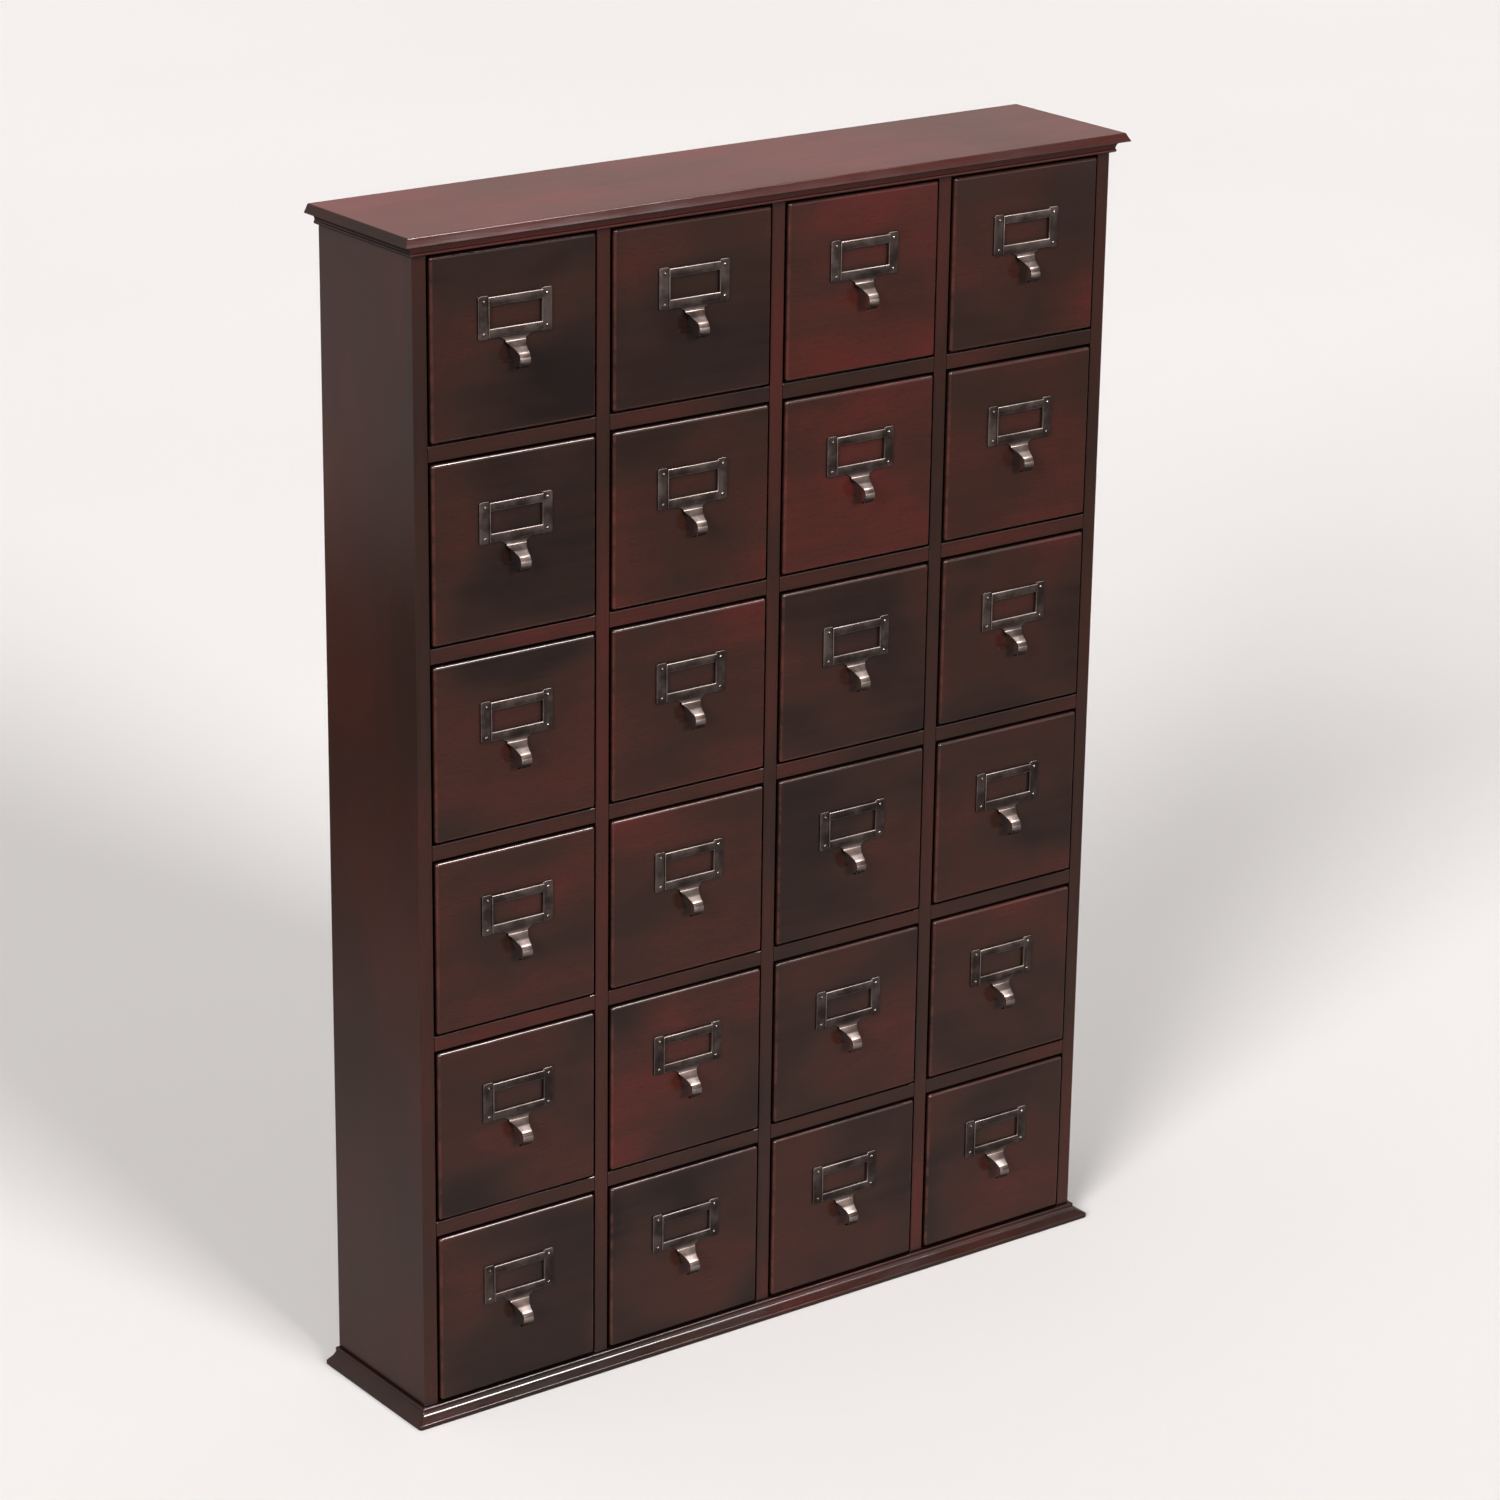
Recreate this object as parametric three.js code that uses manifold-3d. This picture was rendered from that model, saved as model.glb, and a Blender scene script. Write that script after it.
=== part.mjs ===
// Card catalogue cabinet: a tall, shallow carcass with a grid of small drawers,
// each with a label-holder pull. Millimetres, +Z up, front towards -Y.
// The origin is at floor level under the centre of the whole cabinet.

import * as THREE from "three";
import { mergeVertices } from "three/addons/utils/BufferGeometryUtils.js";
import Module from "manifold-3d";

const wasm = await Module();
wasm.setup();

// Carcass
const COLUMNS = 4;
const ROWS = 6;
const BODY_WIDTH = 700; // over the side panels
const BODY_HEIGHT = 980; // between the base board and the top board
const BODY_DEPTH = 136; // side panels, front to back
const BOARD = 13; // thickness of sides, dividers and shelves
const BACK_THICKNESS = 5;
const BACK_REBATE = 7; // how far the back panel runs into each side panel
const JOINT_GAP = 0.3; // between pieces that touch

// Moulded boards
const TOP_THICKNESS = 17;
const BASE_THICKNESS = 14;
const OVERHANG = 13; // moulding beyond the body, at the front and both sides

// Drawers
const FRONT_GAP = 2; // around a drawer front
const FRONT_THICKNESS = 12;
const FRONT_PROUD = 2.5; // how far a front stands out of the carcass
const FRONT_ROUND = 2; // rounded arris of a front
const BOX_INSET = 1; // box side inside the edge of the front
const BOX_WALL = 5;
const BOX_FLOOR = 3.5;
const BOX_HEIGHT = 112;
const BOX_LIFT = 0.4; // box floor above the board it slides on
const BACK_CLEARANCE = 3; // behind a closed drawer

// Label-holder pulls
const PLATE_WIDTH = 69;
const PLATE_HEIGHT = 35;
const EAR_WIDTH = 10; // flat end plate at each side of the holder
const BAR_INSET = 1.2; // holder's top and bottom edges, inside the ears' ends
const WINDOW_WIDTH = 49;
const WINDOW_HEIGHT = 18.5;
const EAR_THICKNESS = 1.2;
const HOLDER_THICKNESS = 2.3;
const CORNER_RADIUS = 1.8;
const PLATE_LIFT = 20; // centre of the plate above the centre of the drawer front
const PIN_RADIUS = 1.4;
const PIN_HEIGHT = 1.2; // domed head above the ear
const PIN_RIM = 0.4;
const PIN_SUNK = 0.5; // head's foot inside the ear
const PIN_SIDES = 6;
const PIN_EDGE = 4.5; // pin centre inside the plate's top and bottom
const STRIP = 1.3; // thickness of the finger hook
const HOOK_REACH = 15.5; // how far the hook stands out
const HOOK_DROP = 25; // below the holder
const HOOK_OVERLAP = 3; // strip behind the holder's lower bar
const BEND_DROP = 5.1; // sharp bend below the holder
const CURL_HEIGHT = 17.8;

const CELL_WIDTH = (BODY_WIDTH - (COLUMNS + 1) * BOARD) / COLUMNS;
const CELL_HEIGHT = (BODY_HEIGHT - (ROWS - 1) * BOARD) / ROWS;
const FRONT_WIDTH = CELL_WIDTH - 2 * FRONT_GAP;
const FRONT_HEIGHT = CELL_HEIGHT - 2 * FRONT_GAP;
const FRONT_REACH = Math.max(OVERHANG, FRONT_PROUD + JOINT_GAP + HOOK_REACH);
const BODY_FRONT = (FRONT_REACH - BODY_DEPTH) / 2; // y of the carcass front
const BODY_BACK = BODY_FRONT + BODY_DEPTH;
const BODY_BOTTOM = BASE_THICKNESS;
const BODY_TOP = BODY_BOTTOM + BODY_HEIGHT;
const GRID_BACK = BODY_BACK - BACK_THICKNESS - JOINT_GAP;
const LAP_MIDDLE = (BODY_FRONT + GRID_BACK) / 2;
const DRAWER_FACE = BODY_FRONT - FRONT_PROUD;

const wood = (color) =>
  new THREE.MeshStandardMaterial({ color, roughness: 0.35, metalness: 0 });
const metal = () =>
  new THREE.MeshStandardMaterial({ color: 0x5d5550, roughness: 0.4, metalness: 0.9 });

// Solids

function solid(geometry) {
  geometry.deleteAttribute("normal");
  geometry.deleteAttribute("uv");
  const merged = mergeVertices(geometry, 1e-4);
  return new wasm.Manifold(
    new wasm.Mesh({
      numProp: 3,
      vertProperties: merged.attributes.position.array,
      triVerts: new Uint32Array(merged.index.array),
    }),
  );
}

function box(low, high) {
  const size = high.map((value, i) => value - low[i]);
  const geometry = new THREE.BoxGeometry(...size);
  geometry.translate(...low.map((value, i) => value + size[i] / 2));
  return solid(geometry);
}

const extruded = (shape, depth) =>
  new THREE.ExtrudeGeometry(shape, { depth, bevelEnabled: false });

// Extrudes an outline drawn in (x, z) along y, from y0 to y1.
function alongY(shape, y0, y1) {
  const geometry = extruded(shape, y1 - y0);
  geometry.rotateX(Math.PI / 2);
  geometry.translate(0, y1, 0);
  return solid(geometry);
}

// Extrudes an outline drawn in (y, z) along x, from x0 to x1.
function alongX(shape, x0, x1) {
  const geometry = extruded(shape, x1 - x0);
  geometry.rotateX(Math.PI / 2);
  geometry.rotateZ(Math.PI / 2);
  geometry.translate(x0, 0, 0);
  return solid(geometry);
}

// Extrudes an outline drawn in (x, y) along z, from z0 to z1.
function alongZ(shape, z0, z1) {
  const geometry = extruded(shape, z1 - z0);
  geometry.translate(0, 0, z0);
  return solid(geometry);
}

const outline = (points) => new THREE.Shape(points.map(([a, b]) => new THREE.Vector2(a, b)));

function join(solids) {
  return solids.reduce((whole, piece) => whole.add(piece));
}

function mesh(name, shape, material) {
  const { vertProperties, triVerts } = shape.getMesh();
  const geometry = new THREE.BufferGeometry();
  geometry.setAttribute("position", new THREE.BufferAttribute(vertProperties, 3));
  geometry.setIndex(new THREE.BufferAttribute(triVerts, 1));
  const result = new THREE.Mesh(geometry, material);
  result.name = name;
  return result;
}

// Grid of cells, with row 1 at the top and column 1 at the left

const cellLeft = (column) => -BODY_WIDTH / 2 + BOARD + (column - 1) * (CELL_WIDTH + BOARD);
const cellFloor = (row) => BODY_BOTTOM + (ROWS - row) * (CELL_HEIGHT + BOARD);

// Moulded boards. An edge is a list of [overhang, height above the body] points,
// starting at the body: a small bead, a hollow cove, a lip and the outer face.

function arc(centre, radii, fromDeg, toDeg, steps) {
  return Array.from({ length: steps + 1 }, (_, i) => {
    const angle = THREE.MathUtils.degToRad(fromDeg + ((toDeg - fromDeg) * i) / steps);
    return [centre[0] + radii[0] * Math.cos(angle), centre[1] + radii[1] * Math.sin(angle)];
  });
}

function topEdge() {
  const coveOut = OVERHANG - 3.2;
  return [
    [0, 0],
    ...arc([2.6, 1.6], [1.7, 1.6], -90, 60, 3),
    ...arc([coveOut, 3.2], [coveOut - 3.6, 6.6], 180, 90, 4),
    [OVERHANG - 0.3, 9.8],
    [OVERHANG, 10.4],
    [OVERHANG - 1.5, 14.2],
    [OVERHANG - 4, TOP_THICKNESS],
  ];
}

function baseEdge() {
  const coveOut = OVERHANG - 0.8;
  return [
    [0, 0],
    ...arc([2.6, 1.2], [1.4, 1.2], -90, 60, 3),
    ...arc([coveOut, 2.4], [coveOut - 3.6, 5.2], 180, 90, 4),
    [OVERHANG, 8.6],
    [OVERHANG, 12.6],
    [OVERHANG - 1.2, BASE_THICKNESS],
  ];
}

// A board whose edge runs along the front and both sides, mitred at the corners.
// It grows from the height z0 upwards, or downwards when up is -1.
function mouldedBoard(edge, z0, up) {
  const right = edge.map(([out, rise]) => [BODY_WIDTH / 2 + out, z0 + up * rise]);
  const left = right.map(([x, z]) => [-x, z]).reverse();
  const front = edge.map(([out, rise]) => [BODY_FRONT - out, z0 + up * rise]);
  const thickness = edge.at(-1)[1];
  const back = [
    [BODY_BACK, z0 + up * thickness],
    [BODY_BACK, z0],
  ];
  const reach = BODY_WIDTH / 2 + 2 * OVERHANG;
  const sides = alongY(outline([...right, ...left]), BODY_FRONT - 2 * OVERHANG, BODY_BACK);
  return sides.intersect(alongX(outline([...front, ...back]), -reach, reach));
}

// Carcass boards

function sidePanel(side) {
  const outer = (side * BODY_WIDTH) / 2;
  const inner = outer - side * BOARD;
  const rebate = outer - side * BACK_REBATE;
  const section = outline([
    [outer, BODY_FRONT],
    [outer, BODY_BACK],
    [rebate, BODY_BACK],
    [rebate, GRID_BACK],
    [inner, GRID_BACK],
    [inner, BODY_FRONT],
  ]);
  return alongZ(section, BODY_BOTTOM + JOINT_GAP, BODY_TOP - JOINT_GAP);
}

function backPanel() {
  const half = BODY_WIDTH / 2 - BACK_REBATE - JOINT_GAP;
  return box(
    [-half, BODY_BACK - BACK_THICKNESS, BODY_BOTTOM + JOINT_GAP],
    [half, BODY_BACK, BODY_TOP - JOINT_GAP],
  );
}

const dividerLeft = (number) => cellLeft(number) + CELL_WIDTH;
const shelfBottom = (number) => cellFloor(number) - BOARD;

// An upright board, slotted from the back at each shelf so that it shows whole at the front.
// Shelves named in glued get no slot.
function divider(number, glued = []) {
  const x = dividerLeft(number);
  const board = box(
    [x, BODY_FRONT, BODY_BOTTOM + JOINT_GAP],
    [x + BOARD, GRID_BACK, BODY_TOP - JOINT_GAP],
  );
  return shelfNumbers
    .filter((shelfNumber) => !glued.includes(shelfNumber))
    .reduce((rest, shelfNumber) => {
      const z = shelfBottom(shelfNumber);
      const slot = box(
        [x - 1, LAP_MIDDLE, z - JOINT_GAP],
        [x + BOARD + 1, GRID_BACK + 1, z + BOARD + JOINT_GAP],
      );
      return rest.subtract(slot);
    }, board);
}

// A level board, slotted from the front at each divider. Dividers named in glued get no slot.
function shelf(number, glued = []) {
  const z = shelfBottom(number);
  const half = BODY_WIDTH / 2 - BOARD - JOINT_GAP;
  const board = box([-half, BODY_FRONT, z], [half, GRID_BACK, z + BOARD]);
  return dividerNumbers
    .filter((dividerNumber) => !glued.includes(dividerNumber))
    .reduce((rest, dividerNumber) => {
      const x = dividerLeft(dividerNumber);
      const slot = box(
        [x - JOINT_GAP, BODY_FRONT - 1, z - 1],
        [x + BOARD + JOINT_GAP, LAP_MIDDLE + JOINT_GAP, z + BOARD + 1],
      );
      return rest.subtract(slot);
    }, board);
}

const dividerNumbers = Array.from({ length: COLUMNS - 1 }, (_, i) => i + 1);
const shelfNumbers = Array.from({ length: ROWS - 1 }, (_, i) => i + 1);
const MIDDLE_DIVIDER = COLUMNS / 2;
const MIDDLE_SHELF = ROWS / 2;

// The middle divider and the middle shelf are one glued cross.
function centreCross() {
  return divider(MIDDLE_DIVIDER, [MIDDLE_SHELF]).add(shelf(MIDDLE_SHELF, [MIDDLE_DIVIDER]));
}

// Drawers, each made with its front's lower left corner at x = 0, z = 0 and its face at y = 0

// Half of a front's section: across the width or the height, with rounded front arrises.
function roundedSection(length) {
  return [
    ...arc([FRONT_ROUND, FRONT_ROUND], [FRONT_ROUND, FRONT_ROUND], 180, 270, 3),
    ...arc([length - FRONT_ROUND, FRONT_ROUND], [FRONT_ROUND, FRONT_ROUND], -90, 0, 3),
    [length, FRONT_THICKNESS],
    [0, FRONT_THICKNESS],
  ];
}

function drawerFront() {
  const plan = outline(roundedSection(FRONT_WIDTH));
  const upright = outline(roundedSection(FRONT_HEIGHT).map(([z, y]) => [y, z]).reverse());
  return alongZ(plan, 0, FRONT_HEIGHT).intersect(alongX(upright, 0, FRONT_WIDTH));
}

function drawer() {
  const floor = BOX_LIFT - FRONT_GAP;
  const back = GRID_BACK - BACK_CLEARANCE - DRAWER_FACE;
  const right = FRONT_WIDTH - BOX_INSET;
  const tray = box([BOX_INSET, FRONT_THICKNESS - 1, floor], [right, back, floor + BOX_HEIGHT]);
  const hollow = box(
    [BOX_INSET + BOX_WALL, FRONT_THICKNESS, floor + BOX_FLOOR],
    [right - BOX_WALL, back - BOX_WALL, floor + BOX_HEIGHT + 1],
  );
  return drawerFront().add(tray.subtract(hollow));
}

// Pulls, each made with the centre of its plate at x = 0, z = 0 and its back at y = 0

function roundedPlate(width, height, radius) {
  const [x, z] = [width / 2 - radius, height / 2 - radius];
  return [
    ...arc([x, z], [radius, radius], 0, 90, 2),
    ...arc([-x, z], [radius, radius], 90, 180, 2),
    ...arc([-x, -z], [radius, radius], 180, 270, 2),
    ...arc([x, -z], [radius, radius], 270, 360, 2),
  ];
}

// Two flat ears with a raised card holder between them, open at its window.
function labelPlate() {
  const whole = roundedPlate(PLATE_WIDTH, PLATE_HEIGHT, CORNER_RADIUS);
  const holderHalf = PLATE_WIDTH / 2 - EAR_WIDTH + 1;
  const holderTop = PLATE_HEIGHT / 2 - BAR_INSET;
  const aboveHolder = box([-holderHalf, -PLATE_HEIGHT, holderTop], [holderHalf, 1, PLATE_HEIGHT]);
  const belowHolder = box([-holderHalf, -PLATE_HEIGHT, -PLATE_HEIGHT], [holderHalf, 1, -holderTop]);
  const holder = box([-holderHalf, -HOLDER_THICKNESS, -holderTop], [holderHalf, 0, holderTop]);
  const cardWindow = box(
    [-WINDOW_WIDTH / 2, -HOLDER_THICKNESS - 1, -WINDOW_HEIGHT / 2],
    [WINDOW_WIDTH / 2, 1, WINDOW_HEIGHT / 2],
  );
  return alongY(outline(whole), -EAR_THICKNESS, 0)
    .subtract(aboveHolder)
    .subtract(belowHolder)
    .add(holder)
    .subtract(cardWindow);
}

function pin(x, z) {
  const profile = [
    [0, -PIN_SUNK],
    [PIN_RADIUS, -PIN_SUNK],
    [PIN_RADIUS, PIN_RIM],
    [0, PIN_HEIGHT],
  ].map(([radius, height]) => new THREE.Vector2(radius, height));
  const dome = new THREE.LatheGeometry(profile, PIN_SIDES);
  dome.rotateX(Math.PI);
  dome.translate(x, -EAR_THICKNESS, z);
  return solid(dome);
}

// Middle line of the hook's strip as [out, down] from the holder's lower edge: down the
// wood, out over a ledge, then down and back in round a curl.
function hookLine() {
  const radii = [HOOK_REACH / 2, CURL_HEIGHT / 2];
  const centre = [HOOK_REACH - radii[0] - STRIP / 2, HOOK_DROP - radii[1]];
  return [
    [STRIP / 2, -HOOK_OVERLAP],
    [STRIP / 2 + 0.6, BEND_DROP - 0.9],
    [STRIP / 2 + 2.2, BEND_DROP + 0.9],
    ...arc(centre, radii, -75, 75, 6),
  ];
}

// Half-width of the hook at each distance below the holder's lower edge: it flares out
// to the holder and narrows to a strip.
const HOOK_OUTLINE = [
  [15.5, -HOOK_OVERLAP],
  [15.5, 0],
  [10.5, 3.2],
  [8.6, 5.6],
  [6.6, 9],
  [5.4, 12.5],
  [5, 16],
  [5, HOOK_DROP + 1],
];

function hook() {
  const edge = -PLATE_HEIGHT / 2 + BAR_INSET;
  const line = hookLine().map(([out, down]) => new THREE.Vector2(-out, edge - down));
  const beside = (side) =>
    line.map((point, i) => {
      const before = line[Math.max(i - 1, 0)];
      const after = line[Math.min(i + 1, line.length - 1)];
      const along = after.clone().sub(before).normalize();
      const away = new THREE.Vector2(-along.y, along.x).multiplyScalar((side * STRIP) / 2);
      return point.clone().add(away).toArray();
    });
  const strip = outline([...beside(-1), ...beside(1).reverse()]);
  const right = HOOK_OUTLINE.map(([half, down]) => [half, edge - down]);
  const left = right.map(([x, z]) => [-x, z]).reverse();
  const shadow = alongY(outline([...right, ...left]), -2 * HOOK_REACH, HOOK_REACH);
  return alongX(strip, -PLATE_WIDTH / 2, PLATE_WIDTH / 2).intersect(shadow);
}

function pull() {
  const x = (PLATE_WIDTH - EAR_WIDTH) / 2;
  const z = PLATE_HEIGHT / 2 - PIN_EDGE;
  const pins = [pin(-x, z), pin(x, z), pin(-x, -z), pin(x, -z)];
  return join([labelPlate(), hook(), ...pins]);
}

// Assembly

const cabinet = new THREE.Group();
cabinet.name = "card_catalog_cabinet";

const stained = wood(0x3d211b);
cabinet.add(
  mesh("top_board", mouldedBoard(topEdge(), BODY_TOP, 1), stained),
  mesh("base_board", mouldedBoard(baseEdge(), BODY_BOTTOM, -1), stained),
  mesh("left_side", sidePanel(-1), stained),
  mesh("right_side", sidePanel(1), stained),
  mesh("back_panel", backPanel(), wood(0x4a2c22)),
  mesh("centre_cross", centreCross(), stained),
);
for (const number of dividerNumbers.filter((n) => n !== MIDDLE_DIVIDER)) {
  cabinet.add(mesh(`divider_${number}`, divider(number), stained));
}
for (const number of shelfNumbers.filter((n) => n !== MIDDLE_SHELF)) {
  cabinet.add(mesh(`shelf_${number}`, shelf(number), stained));
}

const drawerShape = drawer();
const pullShape = pull();
for (let row = 1; row <= ROWS; row += 1) {
  for (let column = 1; column <= COLUMNS; column += 1) {
    const slide = new THREE.Group();
    slide.position.set(cellLeft(column) + FRONT_GAP, DRAWER_FACE, cellFloor(row) + FRONT_GAP);
    const place = `r${row}_c${column}`;
    const handle = mesh(`pull_${place}`, pullShape, metal());
    handle.position.set(FRONT_WIDTH / 2, -JOINT_GAP, FRONT_HEIGHT / 2 + PLATE_LIFT);
    slide.add(mesh(`drawer_${place}`, drawerShape, wood(0x3a1d18)), handle);
    cabinet.add(slide);
  }
}

export default cabinet;
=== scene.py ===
import math
import random

import bmesh
import bpy
from mathutils import Matrix, Vector


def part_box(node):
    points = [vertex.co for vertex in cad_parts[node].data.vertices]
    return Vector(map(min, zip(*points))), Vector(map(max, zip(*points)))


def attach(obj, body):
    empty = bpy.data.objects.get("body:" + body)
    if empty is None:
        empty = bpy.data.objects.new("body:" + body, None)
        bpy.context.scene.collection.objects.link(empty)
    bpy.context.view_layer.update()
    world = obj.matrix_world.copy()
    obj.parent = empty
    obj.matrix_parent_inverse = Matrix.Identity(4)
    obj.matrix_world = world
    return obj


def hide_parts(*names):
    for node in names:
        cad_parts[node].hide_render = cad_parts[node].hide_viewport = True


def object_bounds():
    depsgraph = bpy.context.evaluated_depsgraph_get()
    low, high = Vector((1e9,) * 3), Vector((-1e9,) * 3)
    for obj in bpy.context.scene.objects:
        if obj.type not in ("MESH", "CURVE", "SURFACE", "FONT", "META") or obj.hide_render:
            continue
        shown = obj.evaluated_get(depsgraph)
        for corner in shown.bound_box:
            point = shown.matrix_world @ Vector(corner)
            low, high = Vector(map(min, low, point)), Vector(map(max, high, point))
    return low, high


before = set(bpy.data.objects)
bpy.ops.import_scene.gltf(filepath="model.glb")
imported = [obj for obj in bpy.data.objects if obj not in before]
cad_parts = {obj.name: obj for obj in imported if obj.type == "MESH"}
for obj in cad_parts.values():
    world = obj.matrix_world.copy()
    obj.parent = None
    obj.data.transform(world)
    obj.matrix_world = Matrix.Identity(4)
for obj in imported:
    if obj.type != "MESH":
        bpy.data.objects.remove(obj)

CAD_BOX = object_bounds()
MM = 0.001
X, Y, Z = range(3)

COLUMNS = 4
ROWS = 6

# Edges and corners of all meshes
ARC_STEPS = 12
CORNER_STEPS = 6
LEAST_CORNER = 0.1 * MM
EASE_SEGMENTS = 3
MOST_EASED = 0.3
SHARP_ANGLE = math.radians(32)

# Carcass
BOARD_EASED = 0.6 * MM
WELD_DISTANCE = 0.001 * MM
FLAT_ANGLE = math.radians(1)
EDGE_ANGLE = math.radians(40)
TOP_MITRE = 0.7 * MM
BASE_MITRE = 2.6 * MM
LEAST_MITRE = 0.15 * MM

# Drawers
FRONT_THICKNESS = 12 * MM
FRONT_ROUND = 2.6 * MM
FRONT_BACK_EASED = 0.4 * MM
ARRIS_STEPS = 8
FRONT_CORNER = 2.4 * MM
FRONT_LIFT = 1.6 * MM
BOX_INSET = 1 * MM
BOX_WALL = 5 * MM
BOX_HEIGHT = 112 * MM
BOX_EASED = 0.8 * MM
PANEL_THICKNESS = 3 * MM
PANEL_LIFT = 0.5 * MM
PANEL_GROOVE = 2 * MM
PANEL_EASED = 0.2 * MM
BACK_DROP = 4 * MM

# Colours of the drawer fronts: a random share of their own, painted light growing upwards and to the right,
# and darker in the top left corner
TONE_SEED = 7
TONE_CHANCE = 0.12
# Painted light: the fronts grow lighter and redder upwards and to the right
PAINTED_LIGHT_UPWARDS = 0.05
PAINTED_LIGHT_RIGHTWARDS = 0.04
DARK_CORNER = 0.3
DARK_CORNER_REACH = 1.6

# Label-holder pulls: the plate with its two ears, the raised holder and the pins
PLATE_HALF = (34.5 * MM, 17.5 * MM)
EAR_WIDTH = 10 * MM
EAR_SHORTENED = 0.1 * MM
EAR_THICKNESS = 1.2 * MM
EAR_CORNER = 1.8 * MM
EAR_EDGE = 0.35 * MM
EAR_STEPS = 4
BAR_INSET = 1.2 * MM
HOLDER_THICKNESS = 2.3 * MM
HOLDER_LAP = 1 * MM
HOLDER_STEP = 0.28 * MM
HOLDER_CORNER = 0.3 * MM
WINDOW_HALF = (24.5 * MM, 9.25 * MM)
PIN_EDGE = 4.5 * MM
PIN_RADIUS = 1.4 * MM
PIN_HEIGHT = 1.15 * MM
PIN_RIM = 0.1 * MM
PIN_ROOT = 0.5 * MM
PIN_SIDES = 24
PIN_FOOT_WEAR = 0.2
PIN_WEAR = 0.5

# Label-holder pulls: the hook, a strip of metal that hangs from the holder
STRIP = 1.3 * MM
STRIP_EDGE = 0.35 * MM
STRIP_EDGE_STEPS = 3
HOOK_REACH = 15.5 * MM
HOOK_DROP = 25 * MM
HOOK_OVERLAP = 3 * MM
BEND_START = 3.3 * MM
BEND_RADIUS = 3 * MM
BEND_TURN = 57
CURL_RADII = (6.2 * MM, 6.9 * MM)
CURL_ANGLES = (-60, 84)
HOOK_HALF_WIDTH = 9.2 * MM
FLARE = 6.6 * MM
FLARE_FADE = 1.6 * MM
TAPER = 4.2 * MM
TAPER_START = 6 * MM
TAPER_LENGTH = 14 * MM
HOOK_EDGE_WEAR = 0.8
CURL_WEAR = 0.65
CURL_WEAR_START = 17 * MM
CURL_WEAR_LENGTH = 4 * MM
SMOOTH_LENGTH = 2 * MM
LESS_SMOOTH_OUT = 11 * MM

# Camera: its angles are in degrees, its lens and sensor in millimetres. The aim is from the cabinet's middle
CAMERA_AZIMUTH = -36.68
CAMERA_ELEVATION = 19.49
CAMERA_ROLL = 0.8
CAMERA_DISTANCE = 3.881
CAMERA_LENS = 109.5
CAMERA_SENSOR = 36
CAMERA_CLIP_END = 200
CAMERA_AIM = Vector((0.014, -0.011, 0.003))

# Surroundings
FLOOR_SIZE = 30
BACKDROP = (0.93, 0.915, 0.91, 1)
ROOM = (1.0, 0.965, 0.94, 1)
ROOM_STRENGTHS = (0.14, 0.38)
ROOM_RISE = (-0.2, 0.8)


# Outlines

def arc(centre, radii, start, end, steps=ARC_STEPS):
    """Points on an ellipse from start to end, in degrees, both included."""
    points = []
    for i in range(steps + 1):
        angle = math.radians(start + (end - start) * i / steps)
        points.append((centre[0] + radii[0] * math.cos(angle), centre[1] + radii[1] * math.sin(angle)))
    return points


def rounded_rectangle(half_x, half_z, radius, steps=CORNER_STEPS):
    """Corners of a rectangle with rounded corners, centred at zero, anticlockwise."""
    points = []
    for side_x, side_z, start in ((1, 1, 0), (-1, 1, 90), (-1, -1, 180), (1, -1, 270)):
        centre = (side_x * (half_x - radius), side_z * (half_z - radius))
        points += arc(centre, (radius, radius), start, start + 90, steps)
    return points


def between(first, last, steps):
    """Points inside a straight line, without its ends."""
    return [tuple(a + (b - a) * i / steps for a, b in zip(first, last)) for i in range(1, steps)]


def quarter_round(radius, height, steps):
    """(inset, height) pairs round an arris, from the side wall to a face at that height."""
    return [(radius + x, height - radius + z) for x, z in arc((0, 0), (radius, radius), 180, 90, steps)]


def rubbed(steps):
    """How worn each point of an arris is: not at all where it meets the flats, fully in the middle."""
    return [math.sin(math.pi * i / steps) for i in range(steps + 1)]


def rising(value, start, length):
    """0 up to the start, then evenly up to 1 over the length."""
    return min(1, max(0, (value - start) / length))


# Meshes

def skin(bm, rings, wear=(), closed=False):
    """Joins rings of equally many points with faces, and caps the ends unless the rings close on themselves.
    wear has one number for each ring, or for each of its points."""
    layer = bm.verts.layers.float.get("wear") or bm.verts.layers.float.new("wear")
    loops = [[bm.verts.new(point) for point in ring] for ring in rings]
    for loop, amount in zip(loops, wear):
        amounts = amount if isinstance(amount, list) else [amount] * len(loop)
        for vert, value in zip(loop, amounts):
            vert[layer] = value
    pairs = list(zip(loops, loops[1:]))
    if closed:
        pairs.append((loops[-1], loops[0]))
    for lower, upper in pairs:
        for i, corner in enumerate(lower):
            j = (i + 1) % len(lower)
            bm.faces.new((corner, lower[j], upper[j], upper[i]))
    if not closed:
        bm.faces.new(reversed(loops[0]))
        bm.faces.new(loops[-1])


def shade(mesh):
    """Smooth but for its sharp edges."""
    mesh.shade_smooth()
    mesh.set_sharp_from_angle(angle=SHARP_ANGLE)


def finished_mesh(name, bm):
    """A shaded mesh from bm, with its faces pointing out."""
    bmesh.ops.recalc_face_normals(bm, faces=bm.faces)
    mesh = bpy.data.meshes.new(name)
    bm.to_mesh(mesh)
    bm.free()
    shade(mesh)
    return mesh


def add_piece(name, mesh, body, materials, nodes):
    """A visible piece that moves with a body and stands for CAD nodes."""
    piece = bpy.data.objects.new(name, mesh)
    bpy.context.scene.collection.objects.link(piece)
    for material in materials:
        mesh.materials.append(material)
    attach(piece, body)
    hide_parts(*nodes)
    return piece


def keep_flats_flat(piece):
    """Lets the large faces set the normals next to a rounded edge."""
    weighted = piece.modifiers.new("weighted_normals", "WEIGHTED_NORMAL")
    weighted.keep_sharp = True
    weighted.weight = 100


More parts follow.
